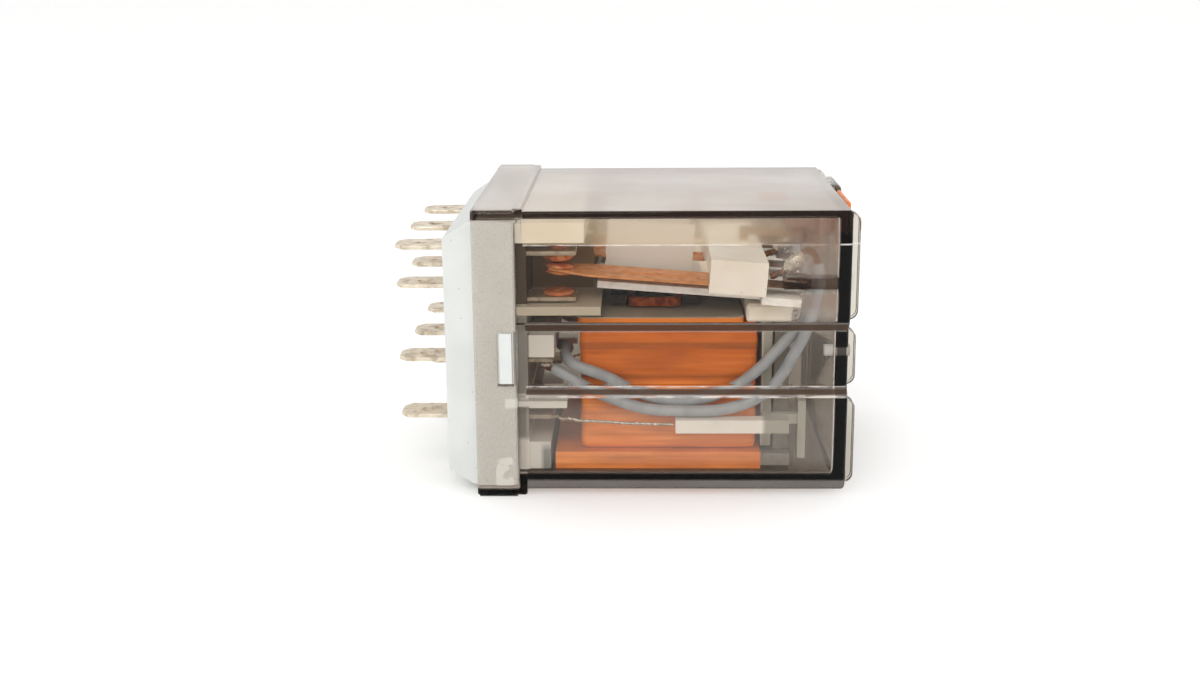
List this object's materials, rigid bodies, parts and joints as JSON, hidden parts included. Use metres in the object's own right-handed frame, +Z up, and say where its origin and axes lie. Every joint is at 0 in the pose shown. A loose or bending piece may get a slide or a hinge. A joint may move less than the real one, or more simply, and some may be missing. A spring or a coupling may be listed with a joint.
{
  "type": "plug-in relay",
  "caption": "Plug-in relay with flat tabs: hinged armature, changeover contacts and taped coil seen through a smoked clear cover with a test button in its end.",
  "frame": {"origin": "centre of the base's seating face, the flat face the tabs stand out of", "axes": "+X from the seating face along the relay to the far end of the cover, +Y across the poles, +Z up with the relay lying on its side, from the coil towards the contacts"},
  "size_m": [0.0579, 0.0404, 0.0367],
  "materials": {
    "smoked_polycarbonate": "clear smoked moulding, polished",
    "white_moulding": "fine satin",
    "cream_moulding": "satin",
    "tinned_brass": "rolled and plated",
    "silver_contact": "polished rivet",
    "spring_copper": "rolled copper alloy",
    "solder": "bright solder and tinned wire",
    "grey_insulation": "smooth sleeve over stranded wire",
    "plated_steel": "zinc plated",
    "orange_tape": "glossy film tape",
    "copper": "bare or enamelled copper",
    "tan_bobbin": "satin",
    "nylon": "slightly translucent moulding",
    "orange_button": "satin"
  },
  "bodies": {
    "frame": {"cover": "smoked_polycarbonate", "base": "white_moulding", "vent_plug": "white_moulding", "contact_block": "cream_moulding", "armature_bearing": "cream_moulding", "nc_terminal_1": "tinned_brass", "no_terminal_1": "tinned_brass", "com_terminal_1": "tinned_brass", "nc_contact_1": "silver_contact", "no_contact_1": "silver_contact", "pigtail_1": "grey_insulation", "nc_terminal_2": "tinned_brass", "no_terminal_2": "tinned_brass", "com_terminal_2": "tinned_brass", "nc_contact_2": "silver_contact", "no_contact_2": "silver_contact", "pigtail_2": "grey_insulation", "nc_terminal_3": "tinned_brass", "no_terminal_3": "tinned_brass", "com_terminal_3": "tinned_brass", "nc_contact_3": "silver_contact", "no_contact_3": "silver_contact", "pigtail_3": "grey_insulation", "coil_terminal_1": "tinned_brass", "coil_lead_1": "solder", "coil_terminal_2": "tinned_brass", "coil_lead_2": "solder", "yoke": "plated_steel", "core": "plated_steel", "return_spring": "plated_steel", "shading_ring": "copper", "coil_winding": "copper", "coil_tape": "orange_tape", "yoke_sleeve": "orange_tape", "bobbin": "tan_bobbin", "coil_insulator": "nylon"},
    "armature": {"armature": "plated_steel", "contact_carrier": "cream_moulding", "contact_spring_1": "spring_copper", "moving_contact_1": "silver_contact", "solder_joint_1": "solder", "contact_spring_2": "spring_copper", "moving_contact_2": "silver_contact", "solder_joint_2": "solder", "contact_spring_3": "spring_copper", "moving_contact_3": "silver_contact", "solder_joint_3": "solder"},
    "test_button": {"test_button": "orange_button"}
  },
  "joints": [
    {"name": "armature_hinge", "type": "hinge", "parent": "frame", "child": "armature", "pos_m": [0.042, 0, 0.00535], "axis": [0, -1, 0], "range_deg": [0, 3.2], "stiffness_Nm_per_rad": 0.05, "springref_deg": -8.59, "deforming": ["return_spring"]},
    {"name": "test_button_slide", "type": "slide", "parent": "frame", "child": "test_button", "axis": [-1, 0, 0], "range_m": [0, 0.0005]}
  ],
  "couplings": [
    {"joint": "test_button_slide", "follows": "armature_hinge", "m_per_rad": 0.0089}
  ]
}
